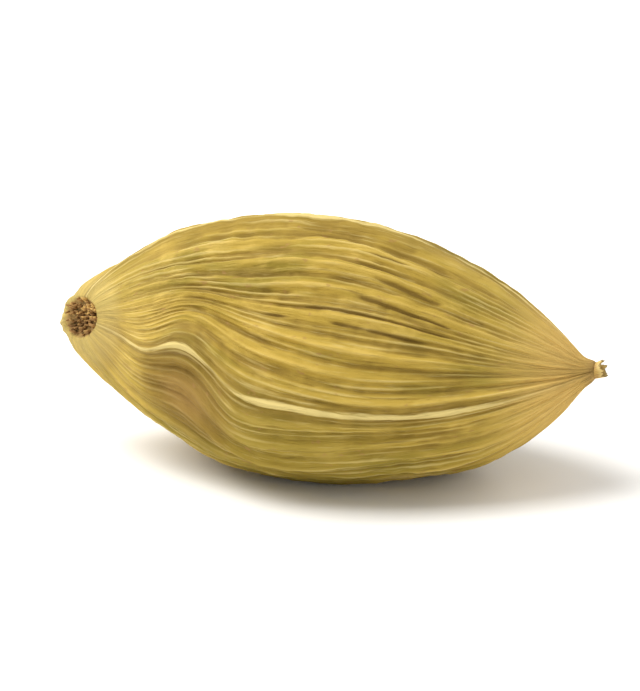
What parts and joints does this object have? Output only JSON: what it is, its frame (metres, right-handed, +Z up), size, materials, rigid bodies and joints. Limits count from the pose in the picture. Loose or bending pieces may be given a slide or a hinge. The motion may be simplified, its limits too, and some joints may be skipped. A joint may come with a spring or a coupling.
{
  "type": "green cardamom pod",
  "caption": "Whole dried green cardamom pod: a closed, three-sided ribbed capsule with keels, a stalk scar at one end and a beak at the other, lying on its side.",
  "frame": {"origin": "on the surface the pod lies on, under the middle of its bounding box", "axes": "+X from the stalk scar to the beak, +Z up, -Y towards the side shown in the picture"},
  "size_m": [0.0174, 0.0094, 0.0081],
  "materials": {
    "dried_husk": "dry papery husk, straw green, rough"
  },
  "bodies": {
    "root": {"cardamom_pod": "dried_husk"}
  },
  "joints": []
}
